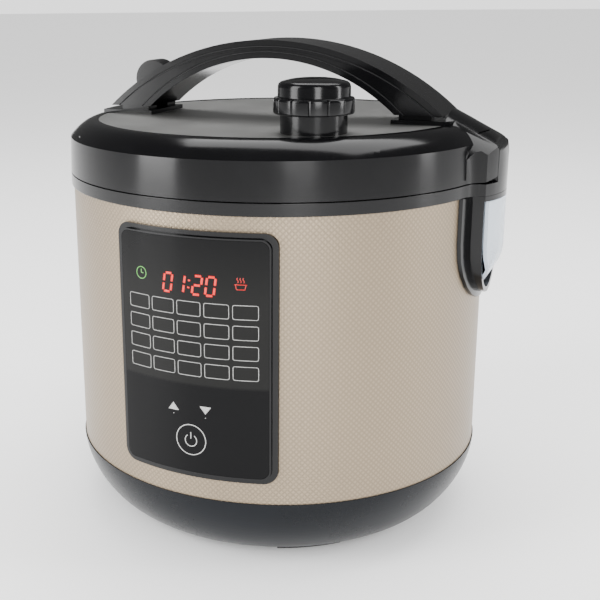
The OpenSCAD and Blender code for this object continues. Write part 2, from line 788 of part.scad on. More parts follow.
// Plate that closes the lid from below
module lid_liner() {
  color("#c8c8c8") difference() {
    union() {
      translate([0, 0, z_liner]) cylinder(r = liner_r, h = liner_t);
      tube(114, 112, z_liner + liner_t - 1, z_liner + liner_t + 6);
      translate([0, 0, z_liner - 3.6]) cylinder(r = 2.4, h = 4);
    }
    for (a = [45:90:315]) rotate(a) translate([boss_r, 0, z_liner - 1]) {
      cylinder(r = 1.7, h = liner_t + 2);
      cylinder(r = 3.4, h = 2.6);
    }
    translate([-slot_out - 1, -latch_w / 2 - 2, z_liner - 1])
      cube([slot_out - slot_in + 1, latch_w + 4, liner_t + 2]);
    translate([valve_x, -valve_y, z_liner - 1]) cylinder(r = duct_r - 2, h = liner_t + 2);
    translate([hinge_x - knuckle_r - 5, -upstand_w / 2 - 4.5, z_liner - 1])
      cube([40, upstand_w + 9, liner_t + 2]);
  }
}

module lid_screws() {
  color("silver") for (a = [45:90:315]) rotate(a) translate([boss_r, 0, z_liner]) {
    cylinder(r = 3.1, h = 1.6);
    cylinder(r = 1.4, h = 14);
  }
}

// Removable inner lid with its steam holes
module inner_lid() {
  color("#b4b7ba") difference() {
    translate([0, 0, z_liner - 3]) cylinder(r = lip_r - 9.5, h = 1);
    translate([0, 0, z_liner - 4]) cylinder(r = 4 + run_fit, h = 3);
    for (a = [0:60:300]) translate([valve_x + 6 * cos(a), -valve_y + 6 * sin(a), z_liner - 4])
      cylinder(r = 1.8, h = 3);
  }
}

// Soft ring on the inner lid's edge, over the pot's lip
module lid_seal() {
  r1 = lip_r - 9.5 + 0.2;
  lo = z_lip + fit;
  hi = z_liner - 0.1;
  color("#d9d9d6") rotate_extrude() polygon([[r1 - 2.4, z_liner - 4], [r1 - 2.4, z_liner - 3.1],
    [r1, z_liner - 3.1], [r1, z_liner - 1.9], [r1 - 2.4, z_liner - 1.9], [r1 - 2.4, z_liner - 1],
    [r1 + 2, hi], [lip_r - 1.5, hi], [lip_r - 1.5, lo + 1.4], [r1 + 4, lo], [r1 + 1, lo]]);
}

// Grommet that holds the inner lid on the liner's stud
module inner_lid_grommet() {
  color("#d9d9d6") difference() {
    union() {
      translate([0, 0, z_liner - 3.9]) cylinder(r = 7, h = 0.9);
      translate([0, 0, z_liner - 3.9]) cylinder(r = 4, h = 3.9);
      translate([0, 0, z_liner - 2]) cylinder(r = 7, h = 2);
    }
    translate([0, 0, z_liner - 5]) cylinder(r = 2.4 + run_fit, h = 6);
  }
}

// Tube that carries steam from the pot to the valve
module steam_duct() {
  color("#c8c8c8") translate([valve_x, -valve_y, 0]) union() {
    tube(duct_r, duct_r - 2, z_liner + liner_t, z_plate - 1.6);
    tube(duct_r + 4, duct_r - 2, z_liner + liner_t, z_liner + liner_t + 2);
  }
}

module valve_gasket() {
  color("#b8b8b6") translate([valve_x, -valve_y, 0])
    tube(duct_r + 0.3, duct_r - 2.2, z_plate - 1.5, z_plate - 0.1);
}

// Neck of the valve, pushed into the duct
module steam_valve_body() {
  color("#141416") translate([valve_x, -valve_y, 0]) difference() {
    union() {
      translate([0, 0, z_plate]) cylinder(r = valve_d / 2, h = 10.6);
      translate([0, 0, z_plate - 12]) cylinder(r = duct_r - 2.3, h = 13);
      translate([0, 0, z_plate + 10]) cylinder(r = valve_d / 2 - 5, h = 8);
    }
    translate([0, 0, z_plate - 13]) cylinder(r = 6, h = 22);
    translate([0, 0, z_plate + 8]) cylinder(r = 3.5, h = 20);
    for (a = [0:90:270]) rotate(a) translate([0, -1.5, z_plate + 13]) cube([30, 3, 3]);
  }
}

// Twist-off cap with its grip ring
module steam_valve_cap() {
  low = z_plate + 10.6 + fit;
  grip_h = 9.2;
  edge = 28.3;
  inner = valve_d / 2 - 2;
  color("#141416") translate([valve_x, -valve_y, 0]) difference() {
    rotate_extrude() polygon([[0, z_plate + 31], [valve_d / 4, z_plate + 30.4],
      [valve_d / 2 - 1.5, z_plate + edge + 0.6], [valve_d / 2, z_plate + edge - 1],
      [valve_d / 2, low + grip_h], [grip_d / 2 - 1, low + grip_h], [grip_d / 2, low + grip_h - 1],
      [grip_d / 2, low + 0.8], [grip_d / 2 - 0.8, low], [inner, low],
      [inner, z_plate + edge - 3], [0, z_plate + 28]]);
    for (a = [20:60:320]) rotate(a) translate([grip_d / 2 - 1.2, -0.7, low - 1]) cube([5, 1.4, grip_h + 2]);
  }
}

// Side outlines of the handle
module handle_area(r, c) {
  intersection() {
    translate([0, c]) circle(r = r, $fn = 180);
    translate([-200, z_foot]) square([400, 200]);
  }
}

// Upper half of the handle
module handle_top() {
  color("#141416") difference() {
    across(handle_w) difference() {
      handle_area(handle_ro, outer_c);
      handle_area(split_r, split_c);
    }
    across(handle_w - 2 * handle_skin) difference() {
      handle_area(handle_ro - handle_skin, outer_c);
      handle_area(split_r - 10, split_c);
      translate([-200, z_foot]) square([400, 8]);
    }
    button_pocket(0.4);
  }
}

// Lower half of the handle, with its necks and screw bosses
module handle_underside() {
  color("#141416") difference() {
    union() {
      difference() {
        across(handle_w) difference() {
          handle_area(split_r - 0.05, split_c);
          handle_area(handle_ri, inner_c);
        }
        across(handle_w - 2 * handle_skin) difference() {
          handle_area(split_r + 5, split_c);
          handle_area(handle_ri + handle_skin, inner_c);
          translate([-200, z_foot]) square([400, 10]);
        }
      }
      for (s = [-1, 1]) translate([s * screw_x - 10, -handle_w / 2 + 2, pad_top])
        cube([20, handle_w - 4, z_foot - pad_top + 1]);
    }
    for (x = [-screw_x, screw_x], y = [-screw_y, screw_y]) translate([x, y, pad_top - 1])
      cylinder(r = 1.5 + run_fit, h = 14);
    button_pocket(0.4);
    translate([-pad_in - 27, -button_w / 2 - 1, pad_top - 1]) cube([23, button_w + 2, 12]);
  }
}

module handle_screws() {
  color("silver") for (x = [-screw_x, screw_x], y = [-screw_y, screw_y])
    translate([x, y, pad_top - pad_t]) {
      translate([0, 0, -2.4]) cylinder(r = 3.4, h = 2.4);
      cylinder(r = 1.5, h = 15);
    }
}

// Direction in which the button travels: square to the handle's outer curve
button_a = atan2(button_z - outer_c, button_x);

// Side outline of the button, moved inwards by a distance and grown by a gap
module button_outline(press, gap) {
  translate([button_x - press * cos(button_a), button_z - press * sin(button_a)]) {
    difference() {
      circle(r = button_r + gap);
      rotate(button_a - 90) translate([-30, -40 - gap]) square([60, 34]);
    }
    rotate(button_a - 90) translate([-24 - gap, -9 - gap]) square([16 + 2 * gap, 5 + 2 * gap]);
  }
}

module button_pocket(gap) {
  across(button_w + 2 * gap) for (press = [0, 1.5, 3]) button_outline(press, gap);
}

// Release button in the left limb of the handle
module release_button() {
  color("#141416") across(button_w) button_outline(0, 0);
}

// Lever: the button pushes its upper end, its nose holds the strike plate
module latch_lever() {
  t = lever_t / 2;
  color("#5a5d60") difference() {
    across(latch_w) union() {
      polygon([[lever_x - t, catch_z - 4.5], [lever_x + t, catch_z - 4.5],
        [lever_x + t + nose_l, catch_z - 1.8], [lever_x + t + nose_l, catch_z - fit],
        [lever_x + t, catch_z - fit], [lever_x + t, lever_z + 2], [lever_x + 10, lever_z + 6],
        [lever_x + 24, lever_z + 6], [lever_x + 24, lever_z + 14], [lever_x + 21.3, lever_z + 15.3],
        [lever_x + 19.5, lever_z + 14], [lever_x + 19.5, lever_z + 9.2], [lever_x + 8, lever_z + 9.2],
        [lever_x - t, lever_z + 4]]);
      translate([lever_x, lever_z]) circle(r = 4);
    }
    y_rod(lever_x, lever_z, 1.5 + run_fit, 40);
  }
}

module latch_pin() {
  color("silver") y_rod(lever_x, lever_z, 1.5, 27);
}

base_housing();
rubber_feet();
base_screws();
support_posts();
power_inlet();
power_board();
internal_wires();
outer_shell();
top_ring();
control_panel_frame();
control_panel_face();
display_module();
control_board();
heat_shield();
heating_plate();
heater_standoffs();
thermal_fuse();
side_heater();
sensor_bracket();
temperature_sensor();
sensor_spring();
cooking_pot();
latch_catch();
condensate_housing();
condensate_cup();
hinge_pin();
hinge_spring();
lid_ring();
lid_plate();
lid_liner();
lid_screws();
inner_lid();
lid_seal();
inner_lid_grommet();
steam_duct();
valve_gasket();
steam_valve_body();
steam_valve_cap();
handle_top();
handle_underside();
handle_screws();
release_button();
latch_lever();
latch_pin();
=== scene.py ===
"""Looks of a hinged-lid electric multicooker, built round its CAD frame."""

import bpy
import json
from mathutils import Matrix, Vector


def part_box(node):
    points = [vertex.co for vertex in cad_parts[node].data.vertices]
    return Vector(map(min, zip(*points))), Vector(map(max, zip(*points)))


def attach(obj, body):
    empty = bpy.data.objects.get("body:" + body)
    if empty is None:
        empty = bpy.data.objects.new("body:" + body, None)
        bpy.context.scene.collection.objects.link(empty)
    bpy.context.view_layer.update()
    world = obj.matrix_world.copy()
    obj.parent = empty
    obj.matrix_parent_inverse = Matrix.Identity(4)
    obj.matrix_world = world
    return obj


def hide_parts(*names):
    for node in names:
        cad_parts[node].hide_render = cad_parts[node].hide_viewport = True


bl_info = {
    "name": "Electric Multicooker",
    "version": (1, 0, 0),
    "blender": (4, 5, 0),
    "location": "View3D > Sidebar > Cooker",
    "description": "Finishes and fine surfaces of a hinged-lid electric multicooker",
    "category": "Object",
}

import json
import math

import bmesh
import bpy
import numpy as np
from mathutils import Matrix, Vector

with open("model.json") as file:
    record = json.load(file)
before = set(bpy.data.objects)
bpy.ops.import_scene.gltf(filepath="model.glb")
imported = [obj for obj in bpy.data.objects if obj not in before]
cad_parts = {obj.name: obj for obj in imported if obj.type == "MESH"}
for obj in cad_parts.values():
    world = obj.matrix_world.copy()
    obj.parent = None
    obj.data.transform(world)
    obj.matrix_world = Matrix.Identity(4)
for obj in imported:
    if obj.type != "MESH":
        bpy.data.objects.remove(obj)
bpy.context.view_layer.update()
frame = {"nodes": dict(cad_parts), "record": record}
NODES = frame["nodes"]


def corner(node, side, axis):
    """One coordinate of a CAD node's box: side 0 is the lowest corner, 1 the highest."""
    return float(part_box(node)[side][axis])


TAU = 2 * math.pi
SHELL_R = corner("outer_shell", 1, 0)
FACE_R = -corner("control_panel_face", 0, 1)
FACE_LOW = corner("control_panel_face", 0, 2)
FACE_TOP = corner("control_panel_face", 1, 2)
VALVE_X = (corner("steam_valve_body", 0, 0) + corner("steam_valve_body", 1, 0)) / 2
VALVE_Y = (corner("steam_valve_body", 0, 1) + corner("steam_valve_body", 1, 1)) / 2


HANDLE_Y = corner("handle_top", 1, 1)
HANDLE_R = 0.1682
HANDLE_INNER_R = 0.1235
HANDLE_THICK = 0.0113
LINE_INSET = 0.004
HANDLE_TOP = corner("handle_top", 1, 2)
HANDLE_LINES = ((HANDLE_TOP - HANDLE_R, HANDLE_R - LINE_INSET),
                (HANDLE_TOP - HANDLE_THICK - HANDLE_INNER_R, HANDLE_INNER_R + LINE_INSET))
# How far each row of the panel lies below the top of its face
KEYS_DROP, POWER_DROP, ARROWS_DROP, DOTS_DROP = 0.0405, 0.1205, 0.101, 0.1056
DIGITS_DROP, CLOCK_DROP, WARM_DROP = 0.0265, 0.0235, 0.0245
# Outline of the valve cap: share of the grip's radius, share of the height, rounding in millimetres
VALVE_PROFILE = ((0.79, 0.0, 0.2), (1.0, 0.0, 1.4), (1.0, 0.45, 1.6), (0.9, 0.47, 0.6), (0.89, 0.87, 2.6),
                 (0.5, 0.985, 6.0), (0.0, 1.0, 0.0), (0.0, 0.86, 0.0), (0.79, 0.7, 1.0))


# ---------------------------------------------------------------- settings

class CookerFinishes(bpy.types.PropertyGroup):
    shell_colour: bpy.props.FloatVectorProperty(
        name="Shell colour", description="Colour of the patterned metal shell", subtype="COLOR",
        size=3, min=0, max=1, default=(0.262, 0.205, 0.14))
    gloss_colour: bpy.props.FloatVectorProperty(
        name="Gloss black", description="Colour of the moulded gloss plastic", subtype="COLOR",
        size=3, min=0, max=1, default=(0.0022, 0.0022, 0.0025))
    base_colour: bpy.props.FloatVectorProperty(
        name="Base colour", description="Colour of the base bowl", subtype="COLOR",
        size=3, min=0, max=1, default=(0.0032, 0.0040, 0.0055))
    plate_colour: bpy.props.FloatVectorProperty(
        name="Plate colour", description="Colour of the lid's metal plate", subtype="COLOR",
        size=3, min=0, max=1, default=(0.42, 0.42, 0.41))
    emboss_pitch: bpy.props.FloatProperty(
        name="Emboss pitch", description="Distance between the shell's embossed diamonds",
        subtype="DISTANCE", unit="LENGTH", min=0.001, max=0.006, default=0.0024)


class CookerPanel(bpy.types.PropertyGroup):
    key_width: bpy.props.FloatProperty(
        name="Key width", description="Width of a touch key's outline", subtype="DISTANCE",
        unit="LENGTH", min=0.008, max=0.02, default=0.0146)
    key_height: bpy.props.FloatProperty(
        name="Key height", description="Height of a touch key's outline", subtype="DISTANCE",
        unit="LENGTH", min=0.004, max=0.012, default=0.0082)
    key_step: bpy.props.FloatProperty(
        name="Key step", description="Distance between two columns of keys", subtype="DISTANCE",
        unit="LENGTH", min=0.012, max=0.022, default=0.0168)
    digit_height: bpy.props.FloatProperty(
        name="Digit height", description="Height of the display's digits", subtype="DISTANCE",
        unit="LENGTH", min=0.006, max=0.016, default=0.0108)
    print_colour: bpy.props.FloatVectorProperty(
        name="Print colour", description="Colour of the printed outlines", subtype="COLOR",
        size=3, min=0, max=1, default=(0.36, 0.36, 0.35))
    digit_colour: bpy.props.FloatVectorProperty(
        name="Digit colour", description="Colour of the lit digits", subtype="COLOR",
        size=3, min=0, max=1, default=(1.0, 0.012, 0.002))


# ---------------------------------------------------------------- meshes

def new_piece(name, body, material, verts, faces):
    """Puts arrays of points and four-sided faces into a mesh that rides on a body."""
    mesh = bpy.data.meshes.new(name)
    mesh.from_pydata(np.asarray(verts, float).tolist(), [], np.asarray(faces, int).tolist())
    mesh.validate()
    mesh.shade_smooth()
    piece = bpy.data.objects.new(name, mesh)
    bpy.context.scene.collection.objects.link(piece)
    mesh.materials.append(material)
    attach(piece, body)
    return piece


def crease(piece, degrees=35):
    """Keeps every edge sharper than an angle as a crease and shades the rest smooth."""
    piece.data.shade_smooth()
    piece.data.set_sharp_from_angle(angle=math.radians(degrees))
    return piece


def grid_faces(rows, columns, wrap_rows=False, wrap_columns=False):
    """Four-sided faces of a grid of points, closed round either way where asked."""
    r = np.arange(rows if wrap_rows else rows - 1)
    c = np.arange(columns if wrap_columns else columns - 1)
    i, j = [a.ravel() for a in np.meshgrid(r, c, indexing="ij")]
    k, m = (i + 1) % rows, (j + 1) % columns
    return np.stack([i * columns + j, k * columns + j, k * columns + m, i * columns + m], 1)


def turned(profile, centre=(0, 0), steps=160):
    """A closed outline of (radius, height), listed anticlockwise, carried once round an upright axis.
    Each point is centre + radius * (cos t, sin t), with t from 0 to one turn."""
    p = np.asarray(profile, float)
    t = np.linspace(0, TAU, steps, endpoint=False)[:, None]
    verts = np.stack([centre[0] + p[None, :, 0] * np.cos(t), centre[1] + p[None, :, 0] * np.sin(t),
                      np.broadcast_to(p[None, :, 1], (steps, len(p)))], -1)
    return verts.reshape(-1, 3), grid_faces(steps, len(p), True, True)


def rounded_outline(points, radii, steps=6):
    """A closed outline whose corners are rounded: at each corner a quadratic curve runs from a point one
    radius before it to a point one radius after it, with the corner as its handle."""
    p = np.asarray(points, float)
    before, after = np.roll(p, 1, 0), np.roll(p, -1, 0)
    r = np.broadcast_to(np.asarray(radii, float), (len(p),))[:, None]
    def toward(a, b):
        d = b - a
        length = np.linalg.norm(d, axis=1, keepdims=True)
        return a + d / length * np.minimum(r, 0.45 * length)
    start, end = toward(p, before), toward(p, after)
    s = np.linspace(0, 1, steps)[None, :, None]
    curve = (1 - s) ** 2 * start[:, None] + 2 * s * (1 - s) * p[:, None] + s ** 2 * end[:, None]
    return curve.reshape(-1, 2)


def softened(node, body, material, width=0.0006, angle=32, steps=2):
    """A copy of a CAD node with its doubles merged, flat regions joined and sharp edges rounded."""
    source = NODES[node]
    mesh = source.data.copy()
    mesh.name = "fine_" + node
    piece = bpy.data.objects.new("fine_" + node, mesh)
    bpy.context.scene.collection.objects.link(piece)
    mesh.materials.clear()
    mesh.materials.append(material)
    b = bmesh.new()
    b.from_mesh(mesh)
    bmesh.ops.remove_doubles(b, verts=b.verts, dist=2e-6)
    bmesh.ops.dissolve_limit(b, angle_limit=math.radians(0.6), verts=b.verts, edges=b.edges,
                             use_dissolve_boundaries=False, delimit={"NORMAL"})
    b.to_mesh(mesh)
    b.free()
    for name in [a.name for a in mesh.attributes if a.name == "custom_normal"]:
        mesh.attributes.remove(mesh.attributes[name])
    crease(piece, angle)
    if width:
        bevel = piece.modifiers.new("Rounded edges", "BEVEL")
        bevel.width = width
        bevel.segments = steps
        bevel.limit_method = "ANGLE"
        bevel.angle_limit = math.radians(angle)
        bevel.harden_normals = True
        bevel.use_clamp_overlap = True
        bevel.miter_outer = "MITER_ARC"
    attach(piece, body)
    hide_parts(node)
    return piece


# ---------------------------------------------------------------- shader building blocks

def wire(tree, kind, inputs=None, **props):
    """Adds a shader node, sets its properties, and fills its inputs with values or links."""
    n = tree.nodes.new(kind)
    for k, v in props.items():
        setattr(n, k, v)
    for key, v in (inputs or {}).items():
        s = n.inputs[key]
        if isinstance(v, bpy.types.NodeSocket):
            tree.links.new(v, s)
        else:
            s.default_value = v
    return n


def maths(tree, operation, a, b=0.0):
    n = wire(tree, "ShaderNodeMath", {0: a, 1: b}, operation=operation)
    return n.outputs[0]


def ramp(tree, value, low, high, to_low=0.0, to_high=1.0):
    n = wire(tree, "ShaderNodeMapRange", {"Value": value, "From Min": low, "From Max": high,
                                          "To Min": to_low, "To Max": to_high})
    return n.outputs[0]


def group(name, inputs, outputs, build):
    """A shader node group with named inputs and outputs, built once."""
    g = bpy.data.node_groups.get(name)
    if g:
        return g
    g = bpy.data.node_groups.new(name, "ShaderNodeTree")
    for label, kind, default in inputs:
        s = g.interface.new_socket(label, in_out="INPUT", socket_type=kind)
        if default is not None:
            s.default_value = default
    for label, kind in outputs:
        g.interface.new_socket(label, in_out="OUTPUT", socket_type=kind)
    gin, gout = g.nodes.new("NodeGroupInput"), g.nodes.new("NodeGroupOutput")
    for label, socket in build(g, gin.outputs).items():
        g.links.new(socket, gout.inputs[label])
    return g


F, V = "NodeSocketFloat", "NodeSocketVector"


def moulded_surface():
    """Slow waviness and fine grain of moulded plastic, and the haze that handling leaves on it."""
    def build(t, i):
        wave = wire(t, "ShaderNodeTexNoise", {"Vector": i["Position"], "Scale": 70.0, "Detail": 2.0})
        grain = wire(t, "ShaderNodeTexNoise", {"Vector": i["Position"], "Scale": i["Grain scale"],
                                               "Detail": 3.0})
        haze = wire(t, "ShaderNodeTexNoise", {"Vector": i["Position"], "Scale": 22.0, "Detail": 6.0,
                                              "Roughness": 0.62})
        fine = maths(t, "MULTIPLY", grain.outputs["Fac"], i["Grain"])
        height = maths(t, "ADD", maths(t, "MULTIPLY", wave.outputs["Fac"], i["Waviness"]), fine)
        mask = ramp(t, haze.outputs["Fac"], 0.42, 0.72)
        return {"Height": height, "Haze": mask}
    return group("Moulded surface", [("Position", V, None), ("Waviness", F, 0.4), ("Grain", F, 0.3),
                                     ("Grain scale", F, 1600.0)], [("Height", F), ("Haze", F)], build)


def wiped_marks():
    """Faint hairline scratches, as thin bright lines where two stretched noises cross a level."""
    def build(t, i):
        out = None
        for turn, scale in ((0.4, (30.0, 900.0, 900.0)), (-0.9, (900.0, 40.0, 900.0))):
            m = wire(t, "ShaderNodeMapping", {"Vector": i["Position"], "Rotation": (turn, turn / 2, turn),
                                              "Scale": scale})
            n = wire(t, "ShaderNodeTexNoise", {"Vector": m.outputs[0], "Scale": 1.0, "Detail": 1.0})
            line = ramp(t, n.outputs["Fac"], 0.68, 0.76)
            out = line if out is None else maths(t, "MAXIMUM", out, line)
        return {"Mask": out}
    return group("Wiped marks", [("Position", V, None)], [("Mask", F)], build)


def embossed_diamonds():
    """Raised diamonds rolled into sheet metal: two families of slanted grooves, one each way round the
    upright axis. The arc is angle times radius, so the pattern keeps its size round the wall."""
    def build(t, i):
        xyz = wire(t, "ShaderNodeSeparateXYZ", {0: i["Position"]})
        angle = maths(t, "ARCTAN2", xyz.outputs["Y"], xyz.outputs["X"])
        arc = maths(t, "DIVIDE", maths(t, "MULTIPLY", angle, i["Radius"]), i["Pitch"])
        rise = maths(t, "DIVIDE", xyz.outputs["Z"], i["Pitch"])
        height = None
        for sign in ("ADD", "SUBTRACT"):
            slant = maths(t, "FRACT", maths(t, "MULTIPLY", maths(t, sign, arc, rise), 0.7071))
            side = maths(t, "ABSOLUTE", maths(t, "SUBTRACT", slant, 0.5))
            ridge = ramp(t, side, 0.5, 0.12)
            height = ridge if height is None else maths(t, "MINIMUM", height, ridge)
        soft = wire(t, "ShaderNodeMapRange", {"Value": height}, interpolation_type="SMOOTHSTEP")
        return {"Height": soft.outputs[0], "Groove": maths(t, "SUBTRACT", 1.0, soft.outputs[0])}
    return group("Embossed diamonds", [("Position", V, None), ("Radius", F, 0.135), ("Pitch", F, 0.0024)],
                 [("Height", F), ("Groove", F)], build)


def brushed_rings():
    """Fine concentric lines of turned or brushed metal: noise that is long round the axis and short
    across it, read from the distance to the axis and a little of the angle."""
    def build(t, i):
        xyz = wire(t, "ShaderNodeSeparateXYZ", {0: i["Position"]})
        r = maths(t, "SQRT", maths(t, "ADD", maths(t, "POWER", xyz.outputs["X"], 2.0),
                                   maths(t, "POWER", xyz.outputs["Y"], 2.0)))
        angle = maths(t, "ARCTAN2", xyz.outputs["Y"], xyz.outputs["X"])
        v = wire(t, "ShaderNodeCombineXYZ", {"X": maths(t, "MULTIPLY", r, i["Lines"]),
                                             "Y": maths(t, "MULTIPLY", angle, 5.0),
                                             "Z": maths(t, "MULTIPLY", xyz.outputs["Z"], i["Lines"])})
        n = wire(t, "ShaderNodeTexNoise", {"Vector": v.outputs[0], "Scale": 1.0, "Detail": 4.0,
                                           "Roughness": 0.7})
        return {"Line": n.outputs["Fac"]}
    return group("Brushed rings", [("Position", V, None), ("Lines", F, 1800.0)], [("Line", F)], build)


def blank(name, colour, roughness, metallic=0.0, **more):
    """A material with its Principled shader and the object's own coordinates."""
    m = bpy.data.materials.new(name)
    m.use_nodes = True
    t = m.node_tree
    shader = t.nodes["Principled BSDF"]
    shader.inputs["Base Color"].default_value = (*colour, 1.0)
    shader.inputs["Roughness"].default_value = roughness
    shader.inputs["Metallic"].default_value = metallic
    for key, value in more.items():
        shader.inputs[key.replace("_", " ")].default_value = value
    m.diffuse_color = (*colour, 1.0)
    place = wire(t, "ShaderNodeTexCoord").outputs["Object"]
    return m, t, shader, place


def use_group(tree, made, **inputs):
    n = tree.nodes.new("ShaderNodeGroup")
    n.node_tree = made
    for key, value in inputs.items():
        s = n.inputs[key.replace("_", " ")]
        if isinstance(value, bpy.types.NodeSocket):
            tree.links.new(value, s)
        else:
            s.default_value = value
    return n


def bump(tree, shader, height, strength, distance=0.001):
    b = wire(tree, "ShaderNodeBump", {"Height": height, "Strength": strength, "Distance": distance})
    tree.links.new(b.outputs[0], shader.inputs["Normal"])
    return b


def mix_colour(tree, factor, a, b):
    n = wire(tree, "ShaderNodeMix", data_type="RGBA", blend_type="MIX")
    tree.links.new(factor, n.inputs[0])
    for socket, value in ((n.inputs[6], a), (n.inputs[7], b)):
        if isinstance(value, bpy.types.NodeSocket):
            tree.links.new(value, socket)
        else:
            socket.default_value = (*value, 1.0)
    return n.outputs[2]


def tint(colour, factor):
    return tuple(min(1.0, c * factor) for c in colour)


def plastic(name, colour, roughness, haze=0.08, waviness=0.35, grain=0.2, grain_scale=1600.0,
            strength=0.05, shine=0.5):
    """Moulded plastic: colour and roughness drift with the haze, and the grain stands up a little."""
    m, t, shader, place = blank(name, colour, roughness, Specular_IOR_Level=shine, IOR=1.5)
    surface = use_group(t, moulded_surface(), Position=place, Waviness=waviness, Grain=grain,
                        Grain_scale=grain_scale)
    marks = use_group(t, wiped_marks(), Position=place)
    t.links.new(mix_colour(t, surface.outputs["Haze"], colour, tint(colour, 1.35)),
                shader.inputs["Base Color"])
    rough = ramp(t, surface.outputs["Haze"], 0.0, 1.0, roughness, roughness + haze)
    t.links.new(maths(t, "ADD", rough, maths(t, "MULTIPLY", marks.outputs["Mask"], 0.05)),
                shader.inputs["Roughness"])
    bump(t, shader, surface.outputs["Height"], strength, 0.0006)
    return m


def metal(name, colour, roughness, lines=1800.0, strength=0.06, spread=0.12):
    """Bare metal with fine rings or draw lines, and cloudy differences in its polish."""
    m, t, shader, place = blank(name, colour, roughness, 1.0)
    rings = use_group(t, brushed_rings(), Position=place, Lines=lines)
    surface = use_group(t, moulded_surface(), Position=place, Waviness=0.5, Grain=0.2)
    t.links.new(mix_colour(t, rings.outputs["Line"], tint(colour, 0.9), tint(colour, 1.06)),
                shader.inputs["Base Color"])
    polish = ramp(t, rings.outputs["Line"], 0.3, 0.7, roughness, roughness + spread)
    t.links.new(maths(t, "ADD", polish, maths(t, "MULTIPLY", surface.outputs["Haze"], 0.06)),
                shader.inputs["Roughness"])
    bump(t, shader, rings.outputs["Line"], strength, 0.0003)
    return m


def shell_metal(colour, pitch):
    """Champagne lacquer over rolled diamonds, with painted shade darkening the grooves so that the tops
    look brighter.
    """
    m, t, shader, place = blank("Champagne embossed metal", colour, 0.4, 0.62, Coat_Roughness=0.3)
    diamonds = use_group(t, embossed_diamonds(), Position=place, Radius=SHELL_R, Pitch=pitch)
    flake = wire(t, "ShaderNodeTexNoise", {"Vector": place, "Scale": 2600.0, "Detail": 1.0})
    drift = wire(t, "ShaderNodeTexNoise", {"Vector": place, "Scale": 9.0, "Detail": 3.0})
    base = mix_colour(t, ramp(t, drift.outputs["Fac"], 0.3, 0.7), tint(colour, 0.96), tint(colour, 1.03))
    lit = mix_colour(t, ramp(t, flake.outputs["Fac"], 0.35, 0.75), base, tint(colour, 1.12))
    # Painted shade: the colour in the grooves is pulled towards 0.62 of the lacquer colour to stand in
    # for the shade that falls in them.
    groove_painted_shade = mix_colour(t, maths(t, "MULTIPLY", diamonds.outputs["Groove"], 0.55), lit,
                        tint(colour, 0.62))
    t.links.new(groove_painted_shade, shader.inputs["Base Color"])
    t.links.new(ramp(t, diamonds.outputs["Groove"], 0.0, 1.0, 0.36, 0.5), shader.inputs["Roughness"])
    shader.inputs["Coat Weight"].default_value = 0.15
    bump(t, shader, diamonds.outputs["Height"], 0.35, 0.00025)
    return m


def board_green():
    """Solder mask over tracks: square cells make the tracks, and round cells the pads."""
    m, t, shader, place = blank("Circuit board", (0.02, 0.1, 0.03), 0.35)
    cells = wire(t, "ShaderNodeTexVoronoi", {"Vector": place, "Scale": 260.0}, distance="MANHATTAN")
    tracks = ramp(t, cells.outputs["Distance"], 0.42, 0.5)
    pads = wire(t, "ShaderNodeTexVoronoi", {"Vector": place, "Scale": 420.0})
    dots = ramp(t, pads.outputs["Distance"], 0.2, 0.14)
    green = mix_colour(t, tracks, (0.012, 0.075, 0.022), (0.03, 0.16, 0.05))
    t.links.new(mix_colour(t, dots, green, (0.5, 0.5, 0.46)), shader.inputs["Base Color"])
    bump(t, shader, maths(t, "ADD", tracks, dots), 0.2, 0.0002)
    return m


def pot_coating():
    """Non-stick coating with pale flecks and a slight orange peel."""
    m, t, shader, place = blank("Non-stick coating", (0.03, 0.03, 0.033), 0.38)
    flecks = wire(t, "ShaderNodeTexVoronoi", {"Vector": place, "Scale": 700.0})
    dots = ramp(t, flecks.outputs["Distance"], 0.16, 0.1)
    gate = wire(t, "ShaderNodeTexNoise", {"Vector": place, "Scale": 260.0})
    mask = maths(t, "MULTIPLY", dots, ramp(t, gate.outputs["Fac"], 0.5, 0.6))
    t.links.new(mix_colour(t, mask, (0.028, 0.028, 0.031), (0.28, 0.28, 0.28)),
                shader.inputs["Base Color"])
    surface = use_group(t, moulded_surface(), Position=place, Waviness=0.4, Grain=0.5, Grain_scale=900.0)
    t.links.new(ramp(t, surface.outputs["Haze"], 0.0, 1.0, 0.34, 0.46), shader.inputs["Roughness"])
    bump(t, shader, surface.outputs["Height"], 0.12, 0.0004)
    return m


def clear_plastic():
    """Clear moulded plastic, slightly milky where the haze lies."""
    m, t, shader, place = blank("Clear cup plastic", (0.8, 0.86, 0.92), 0.25, IOR=1.45,
                                Transmission_Weight=0.5)
    surface = use_group(t, moulded_surface(), Position=place, Waviness=0.4, Grain=0.1)
    t.links.new(mix_colour(t, surface.outputs["Haze"], (0.74, 0.82, 0.9), (0.62, 0.7, 0.8)),
                shader.inputs["Base Color"])
    t.links.new(ramp(t, surface.outputs["Haze"], 0.0, 1.0, 0.2, 0.38), shader.inputs["Roughness"])
    bump(t, shader, surface.outputs["Height"], 0.05, 0.0005)
    return m


def rubber(name, colour, roughness=0.55):
    m = plastic(name, colour, roughness, haze=0.12, grain=0.8, grain_scale=2400.0, strength=0.16)
    return m


def glowing(name, colour, strength):
    """Lit segments behind the dark face, a little uneven along each segment."""
    m, t, shader, place = blank(name, tint(colour, 0.5), 0.3)
    n = wire(t, "ShaderNodeTexNoise", {"Vector": place, "Scale": 400.0, "Detail": 1.0})
    t.links.new(mix_colour(t, n.outputs["Fac"], tint(colour, 0.8), colour),
                shader.inputs["Emission Color"])
    shader.inputs["Emission Strength"].default_value = strength
    return m


